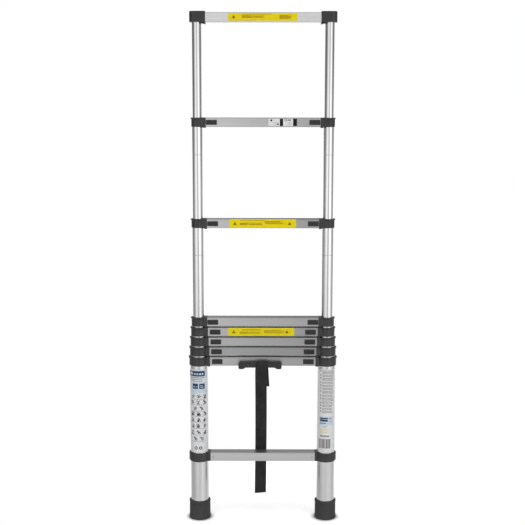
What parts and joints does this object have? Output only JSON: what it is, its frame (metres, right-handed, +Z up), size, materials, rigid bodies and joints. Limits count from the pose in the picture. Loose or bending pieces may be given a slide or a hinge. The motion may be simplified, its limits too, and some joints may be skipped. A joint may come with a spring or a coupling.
{
  "type": "telescoping ladder",
  "caption": "Telescoping aluminium ladder with nested round stiles, black collars with thumb releases, rubber feet and a carry strap, shown partly extended.",
  "frame": {"origin": "on the floor, midway between the two feet", "axes": "+Z up along the stiles, +X across the ladder to the right seen from the front, -Y the front with the thumb buttons and the strap"},
  "size_m": [0.457, 0.0779, 1.5426],
  "materials": {
    "tube_aluminium": "satin anodised, drawn lengthways",
    "rung_aluminium": "satin anodised extrusion with fine lines",
    "rivet_aluminium": "bright rivet head",
    "collar_plastic": "fine grained black nylon",
    "guide_plastic": "plain black polyethylene",
    "button_plastic": "smooth black plastic",
    "grip_plastic": "smooth black plastic",
    "foot_rubber": "moulded black rubber",
    "strap_webbing": "woven black webbing"
  },
  "bodies": {
    "base": {"foot_left": "foot_rubber", "foot_right": "foot_rubber", "tube_1_left": "tube_aluminium", "tube_1_right": "tube_aluminium", "rung_1": "rung_aluminium", "rung_2": "rung_aluminium", "collars_1": "collar_plastic", "collars_2": "collar_plastic", "rivets_1": "rivet_aluminium", "grip_bar": "grip_plastic", "strap": "strap_webbing"},
    "section_2": {"tube_2_left": "tube_aluminium", "tube_2_right": "tube_aluminium", "rung_3": "rung_aluminium", "collars_3": "collar_plastic", "guides_2": "guide_plastic"},
    "section_3": {"tube_3_left": "tube_aluminium", "tube_3_right": "tube_aluminium", "rung_4": "rung_aluminium", "collars_4": "collar_plastic", "guides_3": "guide_plastic"},
    "section_4": {"tube_4_left": "tube_aluminium", "tube_4_right": "tube_aluminium", "rung_5": "rung_aluminium", "collars_5": "collar_plastic", "guides_4": "guide_plastic"},
    "section_5": {"tube_5_left": "tube_aluminium", "tube_5_right": "tube_aluminium", "rung_6": "rung_aluminium", "collars_6": "collar_plastic", "guides_5": "guide_plastic"},
    "section_6": {"tube_6_left": "tube_aluminium", "tube_6_right": "tube_aluminium", "rung_7": "rung_aluminium", "collars_7": "collar_plastic", "guides_6": "guide_plastic"},
    "section_7": {"tube_7_left": "tube_aluminium", "tube_7_right": "tube_aluminium", "rung_8": "rung_aluminium", "collars_8": "collar_plastic", "guides_7": "guide_plastic"},
    "section_8": {"tube_8_left": "tube_aluminium", "tube_8_right": "tube_aluminium", "rung_9": "rung_aluminium", "end_caps_9": "collar_plastic", "guides_8": "guide_plastic"},
    "release_2_left": {"release_2_left": "button_plastic"},
    "release_2_right": {"release_2_right": "button_plastic"},
    "release_3_left": {"release_3_left": "button_plastic"},
    "release_3_right": {"release_3_right": "button_plastic"},
    "release_4_left": {"release_4_left": "button_plastic"},
    "release_4_right": {"release_4_right": "button_plastic"},
    "release_5_left": {"release_5_left": "button_plastic"},
    "release_5_right": {"release_5_right": "button_plastic"},
    "release_6_left": {"release_6_left": "button_plastic"},
    "release_6_right": {"release_6_right": "button_plastic"},
    "release_7_left": {"release_7_left": "button_plastic"},
    "release_7_right": {"release_7_right": "button_plastic"},
    "release_8_left": {"release_8_left": "button_plastic"},
    "release_8_right": {"release_8_right": "button_plastic"}
  },
  "joints": [
    {"name": "section_2_slide", "type": "slide", "parent": "base", "child": "section_2", "axis": [0, 0, 1], "range_m": [0, 0.2695]},
    {"name": "section_3_slide", "type": "slide", "parent": "section_2", "child": "section_3", "axis": [0, 0, 1], "range_m": [0, 0.2695]},
    {"name": "section_4_slide", "type": "slide", "parent": "section_3", "child": "section_4", "axis": [0, 0, 1], "range_m": [0, 0.2695]},
    {"name": "section_5_slide", "type": "slide", "parent": "section_4", "child": "section_5", "axis": [0, 0, 1], "range_m": [0, 0.2695]},
    {"name": "section_6_slide", "type": "slide", "parent": "section_5", "child": "section_6", "axis": [0, 0, 1], "range_m": [-0.2695, 0]},
    {"name": "section_7_slide", "type": "slide", "parent": "section_6", "child": "section_7", "axis": [0, 0, 1], "range_m": [-0.2695, 0]},
    {"name": "section_8_slide", "type": "slide", "parent": "section_7", "child": "section_8", "axis": [0, 0, 1], "range_m": [-0.2695, 0]},
    {"name": "release_2_left_slide", "type": "slide", "parent": "base", "child": "release_2_left", "axis": [-1, 0, 0], "range_m": [0, 0.005], "stiffness_N_per_m": 300},
    {"name": "release_2_right_slide", "type": "slide", "parent": "base", "child": "release_2_right", "axis": [1, 0, 0], "range_m": [0, 0.005], "stiffness_N_per_m": 300},
    {"name": "release_3_left_slide", "type": "slide", "parent": "section_2", "child": "release_3_left", "axis": [-1, 0, 0], "range_m": [0, 0.005], "stiffness_N_per_m": 300},
    {"name": "release_3_right_slide", "type": "slide", "parent": "section_2", "child": "release_3_right", "axis": [1, 0, 0], "range_m": [0, 0.005], "stiffness_N_per_m": 300},
    {"name": "release_4_left_slide", "type": "slide", "parent": "section_3", "child": "release_4_left", "axis": [-1, 0, 0], "range_m": [0, 0.005], "stiffness_N_per_m": 300},
    {"name": "release_4_right_slide", "type": "slide", "parent": "section_3", "child": "release_4_right", "axis": [1, 0, 0], "range_m": [0, 0.005], "stiffness_N_per_m": 300},
    {"name": "release_5_left_slide", "type": "slide", "parent": "section_4", "child": "release_5_left", "axis": [-1, 0, 0], "range_m": [0, 0.005], "stiffness_N_per_m": 300},
    {"name": "release_5_right_slide", "type": "slide", "parent": "section_4", "child": "release_5_right", "axis": [1, 0, 0], "range_m": [0, 0.005], "stiffness_N_per_m": 300},
    {"name": "release_6_left_slide", "type": "slide", "parent": "section_5", "child": "release_6_left", "axis": [-1, 0, 0], "range_m": [-0.005, 0], "stiffness_N_per_m": 300, "springref_m": 0.004},
    {"name": "release_6_right_slide", "type": "slide", "parent": "section_5", "child": "release_6_right", "axis": [1, 0, 0], "range_m": [-0.005, 0], "stiffness_N_per_m": 300, "springref_m": 0.004},
    {"name": "release_7_left_slide", "type": "slide", "parent": "section_6", "child": "release_7_left", "axis": [-1, 0, 0], "range_m": [-0.005, 0], "stiffness_N_per_m": 300, "springref_m": 0.004},
    {"name": "release_7_right_slide", "type": "slide", "parent": "section_6", "child": "release_7_right", "axis": [1, 0, 0], "range_m": [-0.005, 0], "stiffness_N_per_m": 300, "springref_m": 0.004},
    {"name": "release_8_left_slide", "type": "slide", "parent": "section_7", "child": "release_8_left", "axis": [-1, 0, 0], "range_m": [-0.005, 0], "stiffness_N_per_m": 300, "springref_m": 0.004},
    {"name": "release_8_right_slide", "type": "slide", "parent": "section_7", "child": "release_8_right", "axis": [1, 0, 0], "range_m": [-0.005, 0], "stiffness_N_per_m": 300, "springref_m": 0.004}
  ]
}
